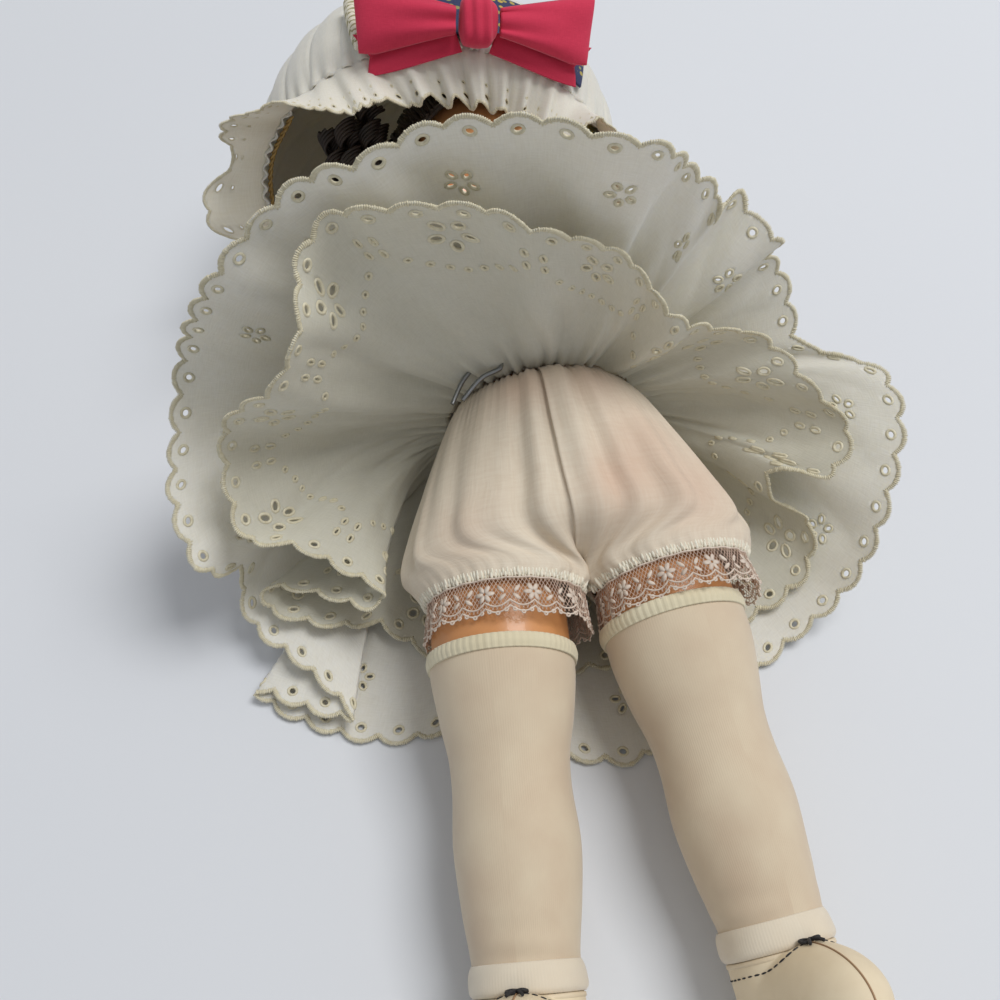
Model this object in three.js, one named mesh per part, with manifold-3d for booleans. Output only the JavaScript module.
// Dressed strung doll lying on its back, feet toward -Y, face up, sizes in millimetres.
import * as THREE from 'three';
import { mergeVertices } from 'three/addons/utils/BufferGeometryUtils.js';
import Module from 'manifold-3d';

const wasm = await Module();
wasm.setup();

// Driving dimensions of the body
const SPINE_Z = 30;                                   // height of the torso's middle line
const FLATTEN = 0.82;                                 // torso depth over width
const TORSO = [[-2.5, 6], [1, 17], [6, 25], [16, 28], [30, 26.5], [43, 25], [56, 26.5], [70, 27],
  [78, 23.5], [84, 16.5], [88, 13.5]];                    // height along the spine, half width
const TORSO_WALL = 3.5;
const HIP = { x: 22, z: 27, ball: 18.5, splay: 4.5, drop: 4.2, turn: 12 };
const LEG = [[8, 17], [20, 18.9], [34, 18.8], [48, 16.9], [58, 14.9], [66, 14.5], [80, 15.2], [94, 13.9],
  [106, 12], [114, 11.4], [122, 11.4]];               // distance from the hip, radius
const FOOT = { below: 4, z: 8, rx: 11.5, ry: 12, rz: 25, flat: 9.5 };
const FOOT_Y = -(LEG[LEG.length - 1][0] + FOOT.below);
const SOLE_Y = FOOT_Y - FOOT.flat;
const SHOULDER = { x: 33, y: 78, z: 30, ball: 10.5 };
const ELBOW = [57, 55, 18];
const WRIST = [83, 48, 14.5];
const FINGERTIP = [100, 43, 12];
const NECK = { y: 92, z: 28, ball: 11 };
const HEAD_SEAT = [0, 38, 2];                         // head's middle above the neck ball
const HEAD_TIP = { nod: 22, turn: -2, lean: 4 };      // degrees: chin to chest, face and crown to its right

// Driving dimensions of the clothes
const CLOTH = 0.8;                                    // wall of the woven pieces
const WAIST_Y = 45;                                   // where the pantaloons are gathered
const TAPE = { from: 0.8, to: 4.4, wall: 0.9 };       // waistbands above it
const WAIST = {
  petticoat: WAIST_Y - 0.5, dress: WAIST_Y + 5.5, bodice: WAIST_Y + 6.1, sash: WAIST_Y + 6.6,
};
const BODICE_EASE = 1.9;
const STOCKING = { top: 30, rise: 3.7, band: 6, wall: 0.9, ease: 1.1, clear: 0.6 }; // its left is drawn up
const ANKLE_Y = FOOT_Y + FOOT.ry + STOCKING.clear;    // stocking's rolled end, clear of the foot
const SHOE = { clear: 0.4, wall: 1.1, collar: 13.4, collarWall: 1.3, rim: 1 };
const SHOE_SOLE = { wide: 8.6, long: 20.6, thick: 2.2, below: 1 };
const LACE = { from: 15.3, to: 25.9 };
const BONNET = { rx: 60, ry: 59, rz: 46, x: -15, y: 13.5, z: 1, wall: 1, ease: 0.5, nape: 25 };
const FACE_PLANE = { normal: [-0.14, -0.775, 0.616], at: 8.5 }; // where the crown opens for the face
const HAIR_LINE = { normal: [0, -0.6, 0.8], at: 15.5 };

// Hems as they lie, from the front round the doll's left, the back and its right
const DRESS_HEM = [[-4, 44, 142], [9, 39, 140], [23, 39, 135], [39, 48, 115], [57, 59, 95], [75, 57, 62],
  [80, 46, 48], [91, 40, 46], [101, 33, 46], [103, 19, 44], [95, -3, 34], [86, -18, 20], [77, -25, 10],
  [63, -32, 3], [46, -42, 1], [28, -51, 1], [10, -59, 1], [-2, -57, 1], [-22, -50, 1], [-40, -42, 1],
  [-54, -43, 1], [-71, -39, 1], [-93, -26, 1.6], [-96, -22, 3.4], [-80, -31, 5], [-68, -36, 6.6],
  [-75, -26, 9], [-84, -16, 10], [-94, -6, 11.5], [-97, 2, 16], [-95, 8, 23], [-100, 4, 30], [-104, 3, 38],
  [-109, 19, 46], [-108, 39, 50], [-102, 53, 66], [-93, 49, 88],
  [-84, 46, 104], [-74, 48, 114], [-58, 52, 126],
  [-45, 49, 132], [-27, 51, 138], [-14, 48, 140]];
const PETTICOAT_HEM = [[-8, 34, 121], [4, 35, 114], [17, 37, 104], [30, 36, 84], [45, 39, 70],
  [65, 39, 60], [78, 25, 50], [85, 13, 45], [78, 4, 38], [66, 12, 32], [64, 8, 24], [74, -2, 22],
  [72, -14, 12], [56, -22, 4.5], [34, -26, 2.6], [12, -30, 2.6], [-14, -30, 2.6], [-36, -24, 2.6],
  [-50, -15, 4.5], [-59, -9, 9], [-68, -10, 13], [-83, -6, 15.5], [-90, -2, 17.5], [-89, 2, 21],
  [-76, -2, 23], [-58, -11, 25], [-54, -9, 28.5], [-63, -3, 32], [-78, 4, 41], [-89, 5, 46],
  [-92, 23, 60], [-87, 26, 74], [-72, 23, 90], [-64, 27, 102], [-62, 40, 112], [-53, 46, 120],
  [-45, 42, 124], [-31, 40, 125], [-17, 37, 125]];

// Bonnet frill: degrees round the opening, width, tilt in degrees (0 flares out, 180 lies inward)
const FRILL = [[-20, 9, 95], [8, 13, 70], [32, 15, 62], [62, 15, 152], [90, 16, 160], [120, 16, 150],
  [140, 16, 110], [153, 16, 55], [168, 16, 18], [186, 16, 12], [204, 11, 25]];

// Looks: colour, roughness and, for metal, metalness
const SKIN = [0xd8874a, 0.3];
const COTTON = [0xf1ece2, 0.9];
const SHEER = [0xf0e2d4, 0.92];
const LACE_NET = [0xd9bfae, 0.9];
const KNIT = [0xf2dfc8, 0.9];
const RIB = [0xefe3c0, 0.85];
const LEATHER = [0xd7ab8c, 0.6];
const SOLE = [0xa87f5c, 0.75];
const BLACK = [0x17141a, 0.35];
const HAIR = [0x2b1d15, 0.6];
const VELVET = [0xb5264a, 0.85];
const RIBBON = [0x1c2340, 0.7];
const CORD = [0x9a6a2c, 0.6];
const GLASS_EYE = [0xe7d9cb, 0.1];
const ELASTIC = [0xcfc7ba, 0.8];
const STEEL = [0x8d8f92, 0.35, 1];

const doll = new THREE.Group();
const deg = THREE.MathUtils.degToRad;
const vec = (p) => new THREE.Vector3(p[0], p[1], p[2]);

// Closed geometry with shared corners and its faces pointing out
function closed(geometry) {
  const bare = new THREE.BufferGeometry();
  bare.setAttribute('position', geometry.attributes.position.clone());
  if (geometry.index) bare.setIndex(geometry.index.clone());
  const joined = mergeVertices(bare, 1e-3);
  const pos = joined.attributes.position;
  const corners = Array.from(joined.index.array);
  const kept = [];
  let volume = 0;
  const a = new THREE.Vector3();
  const b = new THREE.Vector3();
  const c = new THREE.Vector3();
  for (let i = 0; i < corners.length; i += 3) {
    const [p, q, r] = [corners[i], corners[i + 1], corners[i + 2]];
    if (p === q || q === r || p === r) continue;
    kept.push(p, q, r);
    a.fromBufferAttribute(pos, p);
    b.fromBufferAttribute(pos, q);
    c.fromBufferAttribute(pos, r);
    volume += a.dot(b.cross(c));
  }
  if (volume < 0) kept.reverse();
  joined.setIndex(kept);
  joined.computeVertexNormals();
  return joined;
}

function toSolid(geometry) {
  const g = closed(geometry);
  const mesh = new wasm.Mesh({
    numProp: 3,
    vertProperties: new Float32Array(g.attributes.position.array),
    triVerts: new Uint32Array(g.index.array),
  });
  return new wasm.Manifold(mesh);
}

function toGeometry(solid) {
  const mesh = solid.getMesh();
  const g = new THREE.BufferGeometry();
  g.setAttribute('position', new THREE.BufferAttribute(new Float32Array(mesh.vertProperties), 3));
  g.setIndex(Array.from(mesh.triVerts));
  return closed(g);
}

const cut = (base, ...tools) => toGeometry(tools.reduce((s, t) => s.subtract(toSolid(t)), toSolid(base)));
const join = (base, ...more) => toGeometry(more.reduce((s, t) => s.add(toSolid(t)), toSolid(base)));

function place(name, geometry, parent, [color, roughness, metalness = 0]) {
  const look = new THREE.MeshStandardMaterial({ color, roughness, metalness });
  const mesh = new THREE.Mesh(closed(geometry), look);
  mesh.name = name;
  parent.add(mesh);
}

// Solids of revolution about Y from heights and radii, and the shapes they are cut with
function spin(stations, segments, steps, grow = 0) {
  const curve = new THREE.SplineCurve(stations.map(([y, r]) => new THREE.Vector2(r + grow, y)));
  const line = curve.getPoints(steps);
  const first = new THREE.Vector2(0, line[0].y);
  const last = new THREE.Vector2(0, line[steps].y);
  return new THREE.LatheGeometry([first, ...line, last], segments);
}

function ellipsoid(rx, ry, rz, at, wide = 14, high = 9) {
  return new THREE.SphereGeometry(1, wide, high).scale(rx, ry, rz).translate(at[0], at[1], at[2]);
}

function rod(from, to, radius, sides = 8) {
  const line = vec(to).sub(vec(from));
  const up = new THREE.Vector3(0, 1, 0);
  const turn = new THREE.Quaternion().setFromUnitVectors(up, line.clone().normalize());
  const g = new THREE.CylinderGeometry(radius, radius, line.length(), sides).applyQuaternion(turn);
  const mid = vec(from).add(vec(to)).multiplyScalar(0.5);
  return g.translate(mid.x, mid.y, mid.z);
}

function box(low, high) {
  const size = vec(high).sub(vec(low));
  const mid = vec(low).add(vec(high)).multiplyScalar(0.5);
  return new THREE.BoxGeometry(size.x, size.y, size.z).translate(mid.x, mid.y, mid.z);
}

// Half space on the far side of a plane, as a large block
function beyond(normal, at) {
  const up = new THREE.Vector3(0, 0, 1);
  const turn = new THREE.Quaternion().setFromUnitVectors(up, vec(normal).normalize());
  return new THREE.BoxGeometry(400, 400, 200).translate(0, 0, 100 + at).applyQuaternion(turn);
}

// Tapering limb along a curve: radius given at even steps, closed by rounded ends
function limb(points, radii, along, around) {
  const path = new THREE.CatmullRomCurve3(points.map(vec));
  const g = new THREE.TubeGeometry(path, along, 1, around, false);
  const size = new THREE.SplineCurve(radii.map((r, i) => new THREE.Vector2(i, r)));
  const pos = g.attributes.position;
  for (let i = 0; i <= along; i += 1) {
    const t = i / along;
    const end = Math.min(1, Math.min(t, 1 - t) / 0.12);
    const r = size.getPoint(t).y * Math.sqrt(Math.max(0, 1 - (1 - end) ** 2));
    const mid = path.getPointAt(t);
    for (let j = 0; j <= around; j += 1) {
      const k = i * (around + 1) + j;
      const p = new THREE.Vector3().fromBufferAttribute(pos, k).sub(mid).multiplyScalar(r).add(mid);
      pos.setXYZ(k, p.x, p.y, p.z);
    }
  }
  return g;
}

// Thin closed cloth from rows of points, wound into a tube when loop is true
function sheet(rows, wall, loop) {
  const m = rows.length;
  const n = rows[0].length;
  const col = (j) => (loop ? (j + n) % n : Math.min(n - 1, Math.max(0, j)));
  const at = (i, j) => rows[Math.min(m - 1, Math.max(0, i))][col(j)];
  const points = [];
  for (const side of [0.5, -0.5]) {
    for (let i = 0; i < m; i += 1) {
      for (let j = 0; j < n; j += 1) {
        const down = at(i + 1, j).clone().sub(at(i - 1, j));
        const across = at(i, j + 1).clone().sub(at(i, j - 1));
        const out = across.cross(down).normalize();
        points.push(at(i, j).clone().addScaledVector(out, side * wall));
      }
    }
  }
  const faces = [];
  const quad = (a, b, c, d) => faces.push(a, b, c, a, c, d);
  const id = (s, i, j) => s * m * n + i * n + col(j);
  const last = loop ? n : n - 1;
  for (let i = 0; i < m - 1; i += 1) {
    for (let j = 0; j < last; j += 1) {
      quad(id(0, i, j), id(0, i, j + 1), id(0, i + 1, j + 1), id(0, i + 1, j));
      quad(id(1, i, j), id(1, i + 1, j), id(1, i + 1, j + 1), id(1, i, j + 1));
    }
    if (!loop) {
      quad(id(0, i, 0), id(0, i + 1, 0), id(1, i + 1, 0), id(1, i, 0));
      quad(id(0, i, n - 1), id(1, i, n - 1), id(1, i + 1, n - 1), id(0, i + 1, n - 1));
    }
  }
  for (let j = 0; j < last; j += 1) {
    quad(id(0, 0, j), id(1, 0, j), id(1, 0, j + 1), id(0, 0, j + 1));
    quad(id(0, m - 1, j), id(0, m - 1, j + 1), id(1, m - 1, j + 1), id(1, m - 1, j));
  }
  const g = new THREE.BufferGeometry();
  g.setAttribute('position', new THREE.Float32BufferAttribute(points.flatMap((p) => p.toArray()), 3));
  g.setIndex(faces);
  return g;
}

// Rings about Y through heights and radii, wavy where a wave is given
function rings(stations, sides, depth = 1, wave = () => 0) {
  return stations.map(([y, r], i) => Array.from({ length: sides }, (_, j) => {
    const a = (j / sides) * 2 * Math.PI;
    const out = r + wave(a, i);
    return new THREE.Vector3(out * Math.sin(a), y, out * depth * Math.cos(a));
  }));
}

// Skirt: gathered ring at the waist, hem as it lies, cloth bowed between them
function skirt(hem, waistY, waistR, floor, around, down) {
  const curve = new THREE.CatmullRomCurve3(hem.map(vec), true);
  const edge = curve.getSpacedPoints(around).slice(0, around);
  const far = (score) => edge.reduce((best, p, i) => (score(p) > score(edge[best]) ? i : best), 0);
  const stops = [0, far((p) => p.x), far((p) => -p.y), far((p) => -p.x), around];
  const rows = Array.from({ length: down + 1 }, () => []);
  edge.forEach((b, j) => {
    const k = stops.findIndex((s, i) => j >= s && j < stops[i + 1]);
    const turn = ((k + (j - stops[k]) / (stops[k + 1] - stops[k])) * Math.PI) / 2;
    const out = new THREE.Vector3(Math.sin(turn), 0, Math.cos(turn) * FLATTEN);
    const a = new THREE.Vector3(0, waistY, SPINE_Z).addScaledVector(out, waistR);
    const bow = a.clone().addScaledVector(out, 0.34 * a.distanceTo(b));
    bow.z = Math.max(bow.z, floor);
    rows.forEach((row, i) => {
      row.push(new THREE.QuadraticBezierCurve3(a, bow, b).getPoint(i / down));
    });
  });
  return sheet(rows, CLOTH, true);
}

// Torso: hollow above the pelvis, with sockets for neck, shoulders and hips
const spine = (g) => g.scale(1, 1, FLATTEN).translate(0, 0, SPINE_Z);
const hipBall = (side, r) => ellipsoid(r, r, r, [side * HIP.x, 0, HIP.z], 12, 8);
const armBall = (side, r) => ellipsoid(r, r, r, [side * SHOULDER.x, SHOULDER.y, SHOULDER.z], 12, 8);
let torso = spine(spin(TORSO, 14, 10));
const hollow = TORSO.filter(([y]) => y > 25 && y < 80).map(([y, r]) => [y, r - TORSO_WALL]);
torso = cut(torso, spine(spin(hollow, 10, 4)), ellipsoid(12.4, 12.4, 12.4, [0, NECK.y, NECK.z]),
  rod([0, 66, NECK.z], [0, 92, NECK.z], 5.5));
for (const side of [-1, 1]) {
  const legPath = (bend) => {
    const down = new THREE.Vector3(0, -62, 0).applyAxisAngle(new THREE.Vector3(1, 0, 0), -deg(bend));
    const from = [side * HIP.x, 0, HIP.z];
    return rod(from, [side * (HIP.x + 4), down.y, HIP.z + down.z], 20.8, 8);
  };
  const legHole = rod([side * HIP.x, 10, HIP.z], [side * (HIP.x - 5), 36, HIP.z + 1], 3);
  const armHole = rod([side * SHOULDER.x, SHOULDER.y, SHOULDER.z], [0, SHOULDER.y, SHOULDER.z], 3.2);
  torso = cut(torso, hipBall(side, 20), legPath(0), legPath(45), legPath(90), legHole,
    armBall(side, 13.4), armHole);
}
place('torso', torso, doll, SKIN);

// Bodice, sash and collar
const CHEST = TORSO.filter(([y]) => y > WAIST.bodice + 2 && y < 88);
const WAIST_R = 25;
const BODICE = [[WAIST.bodice, WAIST_R], ...CHEST].map(([y, r]) => [y, r + BODICE_EASE]);
let bodice = spine(sheet(rings(BODICE, 16), 0.9, true));
bodice = cut(bodice, armBall(1, 17.5), armBall(-1, 17.5));
place('bodice', bodice, doll, COTTON);
const SASH_WIDTH = 6;
const sash = rings([[WAIST.sash, WAIST_R + 4.8], [WAIST.sash + SASH_WIDTH, WAIST_R + 5.1]], 18);
place('sash', spine(sheet(sash, 1, true)), doll, COTTON);
const collar = rings([[84.9, 19.2], [86.2, 22]], 32, 0.88, (a, i) => 0.8 * i * Math.cos(8 * a));
place('collar', sheet(collar, 0.7, true).translate(0, 0, SPINE_Z - 1), doll, COTTON);

// Skirts and waistbands
place('dress_skirt', skirt(DRESS_HEM, WAIST.dress, 30.4, 1, 96, 3), doll, COTTON);
place('petticoat', skirt(PETTICOAT_HEM, WAIST.petticoat, 29, 3.3, 96, 3), doll, COTTON);
const tape = (low, high) => {
  const rows = rings([[WAIST_Y + TAPE.from, WAIST_R + low], [WAIST_Y + TAPE.to, WAIST_R + high]], 18);
  return spine(sheet(rows, TAPE.wall, true));
};
place('petticoat_band', tape(3.8, 3.6), doll, COTTON);
place('pantaloon_band', tape(1.8, 1.8), doll, SHEER);

// Pantaloons: two halves from the waist round seat and leg, meeting at the centre seam
function pantaloon(side) {
  // Each row: height, half width, front, back, dip at the seam, squareness of the seat
  const hips = [[WAIST_Y, WAIST_R + 2, 22.2, 22.2, 0, 1], [WAIST_Y - 7, 31, 28.5, 23.2, 0, 0.85],
    [24, 37.5, 29.5, 24.1, 0.06, 0.6], [9, 44, 28, 24.1, 0.12, 0.5], [-3.5, 48.5, 25, 24, 0.2, 0.5]];
  const legs = [[-9.5, 25.5, 21.8], [-14.8, 22.6, 20.6]];
  const count = 25;
  const fold = (a, t) => 1 + 0.03 * t * Math.sin(a * 2 * Math.PI * 6.5);
  const point = (i, j) => {
    const a = j / (count - 1);
    if (i < hips.length) {
      const [y, wide, front, back, dip, square] = hips[i];
      const f = fold(a, i / 4);
      const c = Math.cos(Math.PI * a);
      const rise = c > 0 ? front * f * c * (1 - dip * c ** 8) : -back * Math.abs(c) ** square;
      return new THREE.Vector3(side * (0.5 + wide * f * Math.sin(Math.PI * a)), y, SPINE_Z + rise);
    }
    const [y, wide, deep] = legs[i - hips.length];
    const swing = deg(174 - 348 * a);
    const x = Math.max(0.5, HIP.x + 1.8 + wide * Math.cos(swing));
    const z = HIP.z - 1.2 + deep * Math.sin(swing);
    const tilt = (x - HIP.x) * Math.tan(deg(HIP.splay)) + (HIP.z - z) * Math.tan(deg(HIP.drop));
    return new THREE.Vector3(side * x, y + tilt, z);
  };
  const row = (_, i) => Array.from({ length: count }, (__, j) => point(i, j));
  return sheet(Array.from({ length: hips.length + legs.length }, row), CLOTH, false);
}
place('pantaloon_l', pantaloon(1), doll, SHEER);
place('pantaloon_r', pantaloon(-1), doll, SHEER);

// Stringing: legs and head on one elastic, arms on the other
const eyelet = (at, turnY) => new THREE.TorusGeometry(3.2, 1.2, 5, 8).rotateY(deg(turnY)).translate(...at);

function strung(points, ends) {
  const path = new THREE.CatmullRomCurve3(points.map(vec));
  const tube = toSolid(capped(new THREE.TubeGeometry(path, 14, 1.2, 5, false)));
  return toGeometry(ends.reduce((s, e) => s.add(toSolid(e)), tube));
}

// Flat lids on both ends of an open tube
function capped(tube) {
  const { tubularSegments: along, radialSegments: around } = tube.parameters;
  const pos = Array.from(tube.attributes.position.array);
  const index = Array.from(tube.index.array);
  for (const end of [0, along]) {
    const mid = tube.parameters.path.getPointAt(end / along);
    const centre = pos.length / 3;
    pos.push(mid.x, mid.y, mid.z);
    for (let j = 0; j < around; j += 1) {
      const a = end * (around + 1) + j;
      if (end === 0) index.push(centre, a, a + 1);
      else index.push(centre, a + 1, a);
    }
  }
  const g = new THREE.BufferGeometry();
  g.setAttribute('position', new THREE.Float32BufferAttribute(pos, 3));
  g.setIndex(index);
  return g;
}
const legRing = (side) => eyelet([side * HIP.x, 0, HIP.z], 90);
const legLine = [[HIP.x, 3.2, HIP.z], [HIP.x, 18, HIP.z], [17, 38, 28], [7, 62, 28], [0, 72.5, NECK.z],
  [-7, 62, 28], [-17, 38, 28], [-HIP.x, 18, HIP.z], [-HIP.x, 3.2, HIP.z]];
place('leg_elastic', strung(legLine, [legRing(1), legRing(-1)]), doll, ELASTIC);
const armRing = (side) => eyelet([side * SHOULDER.x, SHOULDER.y, SHOULDER.z], 0);
const armLine = [[SHOULDER.x - 3.2, SHOULDER.y, SHOULDER.z], [18, 77, 31], [9, 74, 36], [0, 73, 38],
  [-9, 74, 36], [-18, 77, 31], [3.2 - SHOULDER.x, SHOULDER.y, SHOULDER.z]];
place('arm_elastic', strung(armLine, [armRing(1), armRing(-1)]), doll, ELASTIC);

// Legs, each in its own frame with the hip at the origin and the leg down -Y
function legParts(side) {
  const tag = side > 0 ? 'l' : 'r';
  const leg = new THREE.Group();
  leg.position.set(side * HIP.x, 0, HIP.z);
  leg.rotation.set(deg(HIP.drop), 0, deg(side * HIP.splay));
  const calf = new THREE.Group();
  calf.rotation.y = deg(side * HIP.turn);
  doll.add(leg);
  leg.add(calf);

  const shank = spin(LEG.map(([s, r]) => [-s, r]).reverse(), 12, 9);
  const foot = (grow, floor) => cut(
    ellipsoid(FOOT.rx + grow, FOOT.ry + grow, FOOT.rz + grow, [0, FOOT_Y, FOOT.z], 12, 8),
    beyond([0, -1, 0], -floor),
  );
  const turnBack = (g) => g.rotateY(-deg(side * HIP.turn));
  const ball = ellipsoid(HIP.ball, HIP.ball, HIP.ball, [0, 0, 0], 12, 8);
  const slot = box([-3.6, -5, -5], [3.6, 22, 22]);
  let body = join(shank, ball, foot(0, SOLE_Y));
  body = cut(body, turnBack(slot), turnBack(rod([-20, 0, 0], [20, 0, 0], 1.5)));
  place(`leg_${tag}`, body, calf, SKIN);
  place(`leg_pin_${tag}`, turnBack(rod([-11, 0, 0], [11, 0, 0], 1.2)), calf, STEEL);

  const top = STOCKING.top - (side > 0 ? STOCKING.rise : 0);
  const from = top + STOCKING.band + 0.4;
  const sock = LEG.map(([s, r]) => [-s, r + STOCKING.ease]).filter(([y]) => y < -from && y > ANKLE_Y + 13);
  const ankle = LEG[LEG.length - 1][1] + STOCKING.ease;
  const roll = [[ANKLE_Y + 6.4, ankle + 0.9], [ANKLE_Y + 2.4, ankle + 1.7], [ANKLE_Y, ankle + 0.3]];
  const sockLine = [[-from, 19.7], ...sock, ...roll];
  place(`stocking_${tag}`, sheet(rings(sockLine, 12), STOCKING.wall, true), calf, KNIT);
  const rib = rings([[-top, 20.4], [-top - STOCKING.band, 20]], 16);
  place(`stocking_band_${tag}`, sheet(rib, 1.1, true), calf, RIB);
  const frill = rings([[-LACE.from, 22], [-LACE.to, 23.2]], 28, 0.93, (a, i) => 0.8 * i * Math.cos(7 * a));
  place(`lace_${tag}`, turnBack(sheet(frill, 0.6, true)).translate(0.5 * side, 0, 0.8), calf, LACE_NET);

  const anklet = (r, top) => rod([0, FOOT_Y, 0], [0, top, 0], r, 14);
  const rimY = ANKLE_Y - SHOE.rim;
  const outside = join(foot(SHOE.clear + SHOE.wall, SOLE_Y - 0.8), anklet(SHOE.collar, rimY));
  const aboveRim = rod([0, rimY, 0], [0, rimY + 20, 0], SHOE.collar + 1.8, 14);
  const lining = anklet(SHOE.collar - SHOE.collarWall, rimY + 1);
  const upper = cut(outside, foot(SHOE.clear, -400), lining, aboveRim, beyond([0, -1, 0], 0.3 - SOLE_Y));
  place(`shoe_${tag}`, upper, calf, LEATHER);
  const outline = new THREE.Shape().absellipse(0, 0, SHOE_SOLE.wide, SHOE_SOLE.long, 0, 2 * Math.PI);
  const flat = { depth: SHOE_SOLE.thick, bevelEnabled: false, curveSegments: 7 };
  const sole = new THREE.ExtrudeGeometry(outline, flat);
  sole.rotateX(Math.PI / 2).translate(0, SOLE_Y - SHOE_SOLE.below, FOOT.z);
  place(`shoe_sole_${tag}`, sole, calf, SOLE);
  const buttonAt = [side * (FOOT.rx + 2.5), FOOT_Y + 1, FOOT.z + 4];
  place(`shoe_button_${tag}`, ellipsoid(1.3, 2.2, 2.2, buttonAt, 7, 5), calf, BLACK);
  const knotAt = [0, FOOT_Y + FOOT.ry + 1.9, SHOE.collar + 3.4];
  place(`shoe_knot_${tag}`, ellipsoid(2.4, 1.1, 1.2, knotAt, 7, 5), calf, BLACK);
}
legParts(1);
legParts(-1);

// Arms: one curved piece with hand, pin, sleeve and cuff
function armParts(side) {
  const tag = side > 0 ? 'l' : 'r';
  const flip = (p) => [side * p[0], p[1], p[2]];
  const s = [SHOULDER.x, SHOULDER.y, SHOULDER.z];
  const root = vec(s).lerp(vec(ELBOW), 0.1).toArray();
  const palmEnd = vec(WRIST).lerp(vec(FINGERTIP), 0.62).toArray();
  const upperMid = vec(s).lerp(vec(ELBOW), 0.55).toArray();
  const lowerMid = vec(ELBOW).lerp(vec(WRIST), 0.55).toArray();
  const line = [root, upperMid, ELBOW, lowerMid, WRIST, palmEnd];
  const arm = limb(line.map(flip), [9.6, 9.2, 8.4, 7.6, 6.2, 6.6], 10, 8);
  const reach = vec(FINGERTIP).sub(vec(WRIST)).normalize();
  const wide = new THREE.Vector3(0, 0, 1).cross(reach).normalize();
  const fingers = [-1.5, -0.5, 0.5, 1.5].map((k) => {
    const from = vec(WRIST).addScaledVector(reach, 7).addScaledVector(wide, 2.6 * k);
    const to = from.clone().addScaledVector(reach, 11.5 - Math.abs(k)).addScaledVector(wide, 0.5 * k);
    to.z -= 2;
    return limb([flip(from.toArray()), flip(to.toArray())], [2, 2, 1.7], 3, 5);
  });
  const thumbFrom = vec(WRIST).addScaledVector(reach, 2).addScaledVector(wide, 3.5);
  const thumbTo = thumbFrom.clone().addScaledVector(reach, 7).addScaledVector(wide, 4.5);
  thumbTo.z += 2;
  const thumb = limb([flip(thumbFrom.toArray()), flip(thumbTo.toArray())], [2.3, 2.1, 1.8], 3, 5);
  const group = new THREE.Group();
  doll.add(group);
  const slot = box([SHOULDER.x - 14, SHOULDER.y - 4.6, SHOULDER.z - 2.4],
    [SHOULDER.x + 4.6, SHOULDER.y + 14, SHOULDER.z + 2.4]);
  if (side < 0) slot.scale(-1, 1, 1);
  const pin = (half, r) => rod(flip([s[0], s[1], s[2] - half]), flip([s[0], s[1], s[2] + half]), r);
  const body = cut(join(arm, armBall(side, SHOULDER.ball), ...fingers, thumb), slot, pin(20, 1.5));
  place(`arm_${tag}`, body, group, SKIN);
  place(`arm_pin_${tag}`, pin(7, 1.2), group, STEEL);

  const axis = new THREE.Group();
  axis.position.set(...flip(s));
  const aim = vec(flip(s)).sub(vec(flip(ELBOW))).normalize();
  axis.quaternion.setFromUnitVectors(new THREE.Vector3(0, 1, 0), aim);
  group.add(axis);
  const puff = rings([[-4.5, 11.2], [-9, 12.3], [-15, 13.7], [-20, 12.9], [-25, 10.9]], 16, 1,
    (a, i) => (i > 1 && i < 4 ? 0.4 * Math.cos(4 * a) : 0));
  place(`sleeve_${tag}`, sheet(puff, CLOTH, true), axis, COTTON);
  const cuff = rings([[-25.8, 11], [-32.5, 12.4]], 24, 1, (a, i) => 0.6 * i * Math.cos(6 * a));
  place(`cuff_${tag}`, sheet(cuff, 0.6, true), axis, COTTON);
}
armParts(1);
armParts(-1);

// Head, in its own frame: middle at the origin, crown up Y, face toward Z
const neck = new THREE.Group();
neck.position.set(0, NECK.y, NECK.z);
neck.rotation.set(deg(HEAD_TIP.nod), deg(HEAD_TIP.turn), deg(HEAD_TIP.lean), 'ZYX');
const head = new THREE.Group();
head.position.set(...HEAD_SEAT);
doll.add(neck);
neck.add(head);
const below = HEAD_SEAT.map((v) => -v);               // the neck ball as the head sees it
const EYE = { x: 12, y: 1, z: 21.5, r: 7.6, clear: 0.8 };

function headForm(grow) {
  const g = grow;
  return join(
    ellipsoid(31 + g, 34 + g, 33 + g, [0, 2, 0], 14, 8),
    ellipsoid(25 + g, 21 + g, 24 + g, [0, -15, 6.5], 12, 7),
    ellipsoid(6 + g, 4.5 + g, 5 + g, [0, -28, 24], 8, 5),
    ellipsoid(3 + g, 6 + g, 4 + g, [30.5, -4, -2], 6, 4),
    ellipsoid(3 + g, 6 + g, 4 + g, [-30.5, -4, -2], 6, 4),
  );
}
const upright = (g) => g.applyQuaternion(neck.quaternion.clone().invert());
let face = join(headForm(0), ellipsoid(2.8, 3.6, 3.2, [0, -7, 32.6], 7, 5),
  ellipsoid(4.2, 1.5, 2, [0, -15.4, 30.2], 7, 4), ellipsoid(3.4, 1.5, 2, [0, -18, 29.4], 7, 4),
  rod([0, -20, below[2]], below, 9.6, 12), ellipsoid(NECK.ball, NECK.ball, NECK.ball, below, 12, 8));
const skullHollow = ellipsoid(26.6, 29.6, 28.6, [0, 2, 0], 10, 7);
const throat = rod([0, -10, below[2]], [0, -60, below[2]], 4.4);
const hookPath = upright(rod([0, 4, 0], [0, -30, 0], 3)).translate(...below);
face = cut(face, skullHollow, throat, hookPath);
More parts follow.
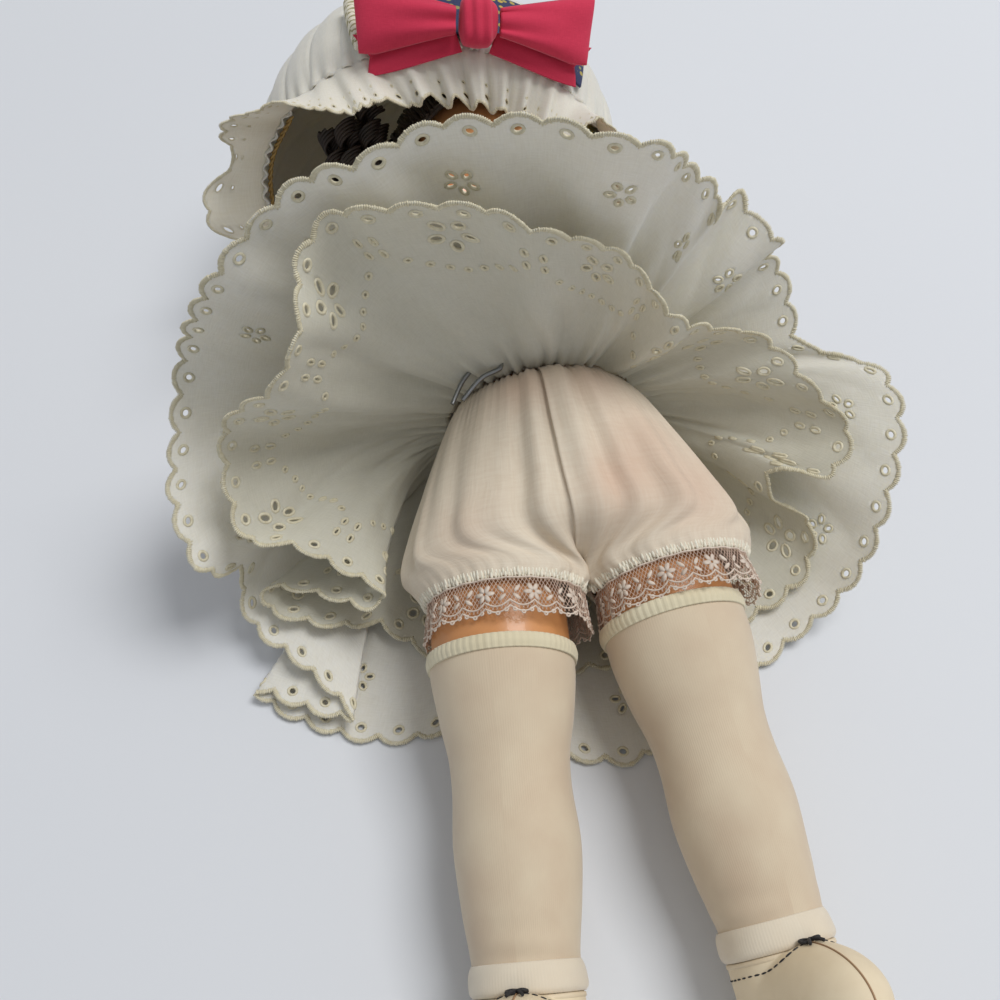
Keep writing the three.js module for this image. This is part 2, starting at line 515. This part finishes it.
for (const side of [-1, 1]) {
  const lid = new THREE.CylinderGeometry(1, 1, 22, 12).rotateX(Math.PI / 2).scale(5.8, 3.4, 1);
  const eyeAt = [side * EYE.x, EYE.y, EYE.z];
  const socket = ellipsoid(EYE.r + EYE.clear, EYE.r + EYE.clear, EYE.r + EYE.clear, eyeAt, 10, 7);
  face = cut(face, socket, lid.translate(side * EYE.x, EYE.y, EYE.z + 11));
  place(side > 0 ? 'eye_l' : 'eye_r', ellipsoid(EYE.r, EYE.r, EYE.r, eyeAt, 11, 8), head, GLASS_EYE);
}
place('head', face, head, SKIN);
const hang = [0, EYE.y - 4.4, EYE.z - 7.6];
place('eye_rocker', join(rod([-4, EYE.y, EYE.z], [4, EYE.y, EYE.z], 1.1, 8),
  rod([0, EYE.y, EYE.z], hang, 0.9, 8), ellipsoid(2.6, 2.6, 2.6, hang, 8, 5)), head, STEEL);
const wigForm = (g) => ellipsoid(35.5 + g, 38 + g, 39.6 + g, [0, 2, -1], 14, 9);
const offFace = beyond(HAIR_LINE.normal, HAIR_LINE.at);
place('wig', cut(wigForm(0), headForm(0.5), offFace, beyond([0, -1, 0], 22)), head, HAIR);
const hookRing = new THREE.TorusGeometry(4.2, 0.7, 5, 10).rotateY(Math.PI / 2).translate(0, -19.6, 0);
const hook = join(hookRing, rod([0, -15.4, 0], [0, 6, 0], 0.9, 8));
place('neck_hook', upright(hook), neck, STEEL);

// Bonnet: puffed crown open at the face, gathered frill, ribbon band and bow
const crownAt = [BONNET.x, BONNET.y, BONNET.z];
const crownForm = (g) => ellipsoid(BONNET.rx + g, BONNET.ry + g, BONNET.rz + g, crownAt, 20, 12);
const overHair = (g) => join(crownForm(g), wigForm(g + BONNET.wall + BONNET.ease));
const opening = beyond(FACE_PLANE.normal, FACE_PLANE.at);
const crown = cut(overHair(0), overHair(-BONNET.wall), opening, beyond([0, -1, 0], BONNET.nape));
place('bonnet_crown', crown, head, COTTON);
const normal = vec(FACE_PLANE.normal).normalize();
const rise = normal.clone().cross(new THREE.Vector3(1, 0, 0)).normalize();
const across = rise.clone().cross(normal);

// Point of the crown at an angle round the opening and a distance from the face plane
function crownPoint(angle, back, grow) {
  const at = FACE_PLANE.at - back;
  const dir = across.clone().multiplyScalar(Math.cos(angle)).addScaledVector(rise, Math.sin(angle));
  const base = normal.clone().multiplyScalar(at);
  let low = 0;
  let high = 90;
  for (let i = 0; i < 30; i += 1) {
    const mid = (low + high) / 2;
    const p = base.clone().addScaledVector(dir, mid);
    const f = ((p.x - BONNET.x) / (BONNET.rx + grow)) ** 2 + ((p.y - BONNET.y) / (BONNET.ry + grow)) ** 2
      + ((p.z - BONNET.z) / (BONNET.rz + grow)) ** 2;
    if (f < 1) low = mid;
    else high = mid;
  }
  return base.addScaledVector(dir, low);
}
const frillCurve = new THREE.CatmullRomCurve3(FRILL.map(vec));
const frillSteps = 72;
const frillRows = [[], []];
for (let j = 0; j <= frillSteps; j += 1) {
  const [angle, width, tilt] = frillCurve.getPoint(j / frillSteps).toArray();
  const a = deg(angle);
  const out = across.clone().multiplyScalar(Math.cos(a)).addScaledVector(rise, Math.sin(a));
  const [c, s] = [Math.cos(deg(tilt)), Math.sin(deg(tilt))];
  const flare = out.clone().multiplyScalar(c).addScaledVector(normal, s);
  const side = out.clone().multiplyScalar(-s).addScaledVector(normal, c);
  const root = crownPoint(a, 0, -BONNET.wall / 2).addScaledVector(normal, 0.9);
  frillRows.forEach((row, i) => {
    const wave = 1.9 * i * Math.sin((2 * Math.PI * 12 * j) / frillSteps);
    row.push(root.clone().addScaledVector(flare, width * i).addScaledVector(side, wave));
  });
}
place('bonnet_frill', sheet(frillRows, 0.7, false), head, COTTON);
const BAND = { from: 38, step: 6, count: 15, front: 2.5, back: 24, wall: 0.7 };
const bandAngles = Array.from({ length: BAND.count }, (_, j) => deg(BAND.from + BAND.step * j));
const bandRow = (back) => bandAngles.map((a) => crownPoint(a, back, 1));
const bandMiddle = (BAND.front + BAND.back) / 2;
const bandRows = [BAND.front, bandMiddle, BAND.back].map(bandRow);
place('bonnet_band', sheet(bandRows, BAND.wall, false), head, RIBBON);

const CORD_ANGLES = [148, 162, 176, 190, 204];
const CORD_RADIUS = 0.8;
const cordPath = new THREE.CatmullRomCurve3(CORD_ANGLES.map((a) => crownPoint(deg(a), BAND.front, -3)));
place('bonnet_cord', capped(new THREE.TubeGeometry(cordPath, 10, CORD_RADIUS, 5, false)), head, CORD);

// Bow on the band, its own frame: X along the loops, Y across the ribbon, Z off the crown
const bow = new THREE.Group();
const BOW = { back: 2.5, off: 1.6, tip: 36, lift: 3.4 };
const bowSeat = (angle, back) => crownPoint(deg(angle), back, BOW.off);
const bowSide = bowSeat(80, BOW.back).sub(bowSeat(100, BOW.back)).normalize();
const bowOut = bowSide.clone().cross(bowSeat(90, BOW.back + 4).sub(bowSeat(90, BOW.back - 4))).normalize();
bow.position.copy(bowSeat(90, BOW.back)).addScaledVector(bowOut, BOW.lift);
bowOut.applyAxisAngle(bowSide, deg(BOW.tip));
const bowAxes = new THREE.Matrix4().makeBasis(bowSide, bowOut.clone().cross(bowSide), bowOut);
bow.quaternion.setFromRotationMatrix(bowAxes);
head.add(bow);
const RIBBON_WIDTH = 18;
function loop(side) {
  const outer = new THREE.Shape();
  outer.moveTo(6, 1.2);
  outer.bezierCurveTo(14, 0.6, 28, -6, 34, -5.5);
  outer.bezierCurveTo(37, -4.8, 35, -1.5, 28, 0.4);
  outer.bezierCurveTo(20, 2.8, 12, 4.4, 6, 4.2);
  outer.closePath();
  const inner = new THREE.Path();
  inner.moveTo(8, 2.4);
  inner.bezierCurveTo(15, 1.7, 28, -4.7, 32.6, -4.6);
  inner.bezierCurveTo(34.4, -4.2, 33, -2.2, 27.6, -0.7);
  inner.bezierCurveTo(20, 1.6, 13, 3.2, 8, 3.2);
  inner.closePath();
  outer.holes.push(inner);
  const width = { depth: RIBBON_WIDTH, bevelEnabled: false, curveSegments: 5, steps: 1 };
  const g = new THREE.ExtrudeGeometry(outer, width);
  g.translate(0, 0, -RIBBON_WIDTH / 2).rotateX(Math.PI / 2);
  const pos = g.attributes.position;
  for (let i = 0; i < pos.count; i += 1) {
    const flare = 0.42 + 0.58 * Math.min(1, Math.max(0, (pos.getX(i) - 6) / 24));
    pos.setXYZ(i, side * pos.getX(i), pos.getY(i) * flare, pos.getZ(i));
  }
  return g.translate(0, 0, 2.7);
}
place('bow_loop_l', loop(1), bow, VELVET);
place('bow_loop_r', loop(-1), bow, VELVET);
place('bow_knot', ellipsoid(5.5, 6.4, 5.6, [0, 0, 3.7], 10, 6), bow, VELVET);
function tail(side) {
  const rows = [0, 1, 2, 3].map((i) => Array.from({ length: 4 }, (_, j) => {
    const t = i / 3;
    const w = (j / 3 - 0.5) * (7 + 7 * t);
    return new THREE.Vector3(side * (5 + 27 * t + 0.3 * w), -6.5 - 6 * t + w * 0.8, 0.45 - 4.6 * t * t);
  }));
  return sheet(rows, 0.7, false);
}
place('bow_tail_l', tail(1), bow, VELVET);
place('bow_tail_r', tail(-1), bow, VELVET);

// Stand the doll's box on the origin
doll.updateMatrixWorld(true);
const bounds = new THREE.Box3().setFromObject(doll, true);
const middle = bounds.getCenter(new THREE.Vector3());
doll.position.set(-middle.x, -middle.y, -bounds.min.z);
doll.updateMatrixWorld(true);
export default doll;
